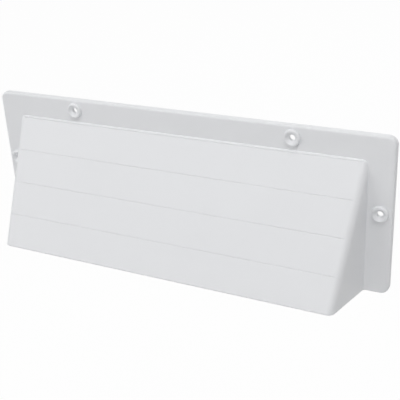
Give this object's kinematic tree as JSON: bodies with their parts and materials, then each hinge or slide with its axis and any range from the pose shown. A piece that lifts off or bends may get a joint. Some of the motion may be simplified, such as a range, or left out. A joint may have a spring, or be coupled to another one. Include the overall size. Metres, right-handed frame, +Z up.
{
  "type": "airbrick cowl",
  "caption": "White moulded airbrick cowl: a flat wall flange with dished screw holes and a sloping hood that is open at the back and the bottom.",
  "frame": {"origin": "middle of the flange's wall face, on the wall plane", "axes": "+X along the cowl to the right as seen from the front, -Y out of the wall, +Z up"},
  "size_m": [0.27, 0.0463, 0.0988],
  "materials": {
    "white_plastic": "satin, fine moulded texture"
  },
  "bodies": {
    "root": {"cowl": "white_plastic"}
  },
  "joints": []
}
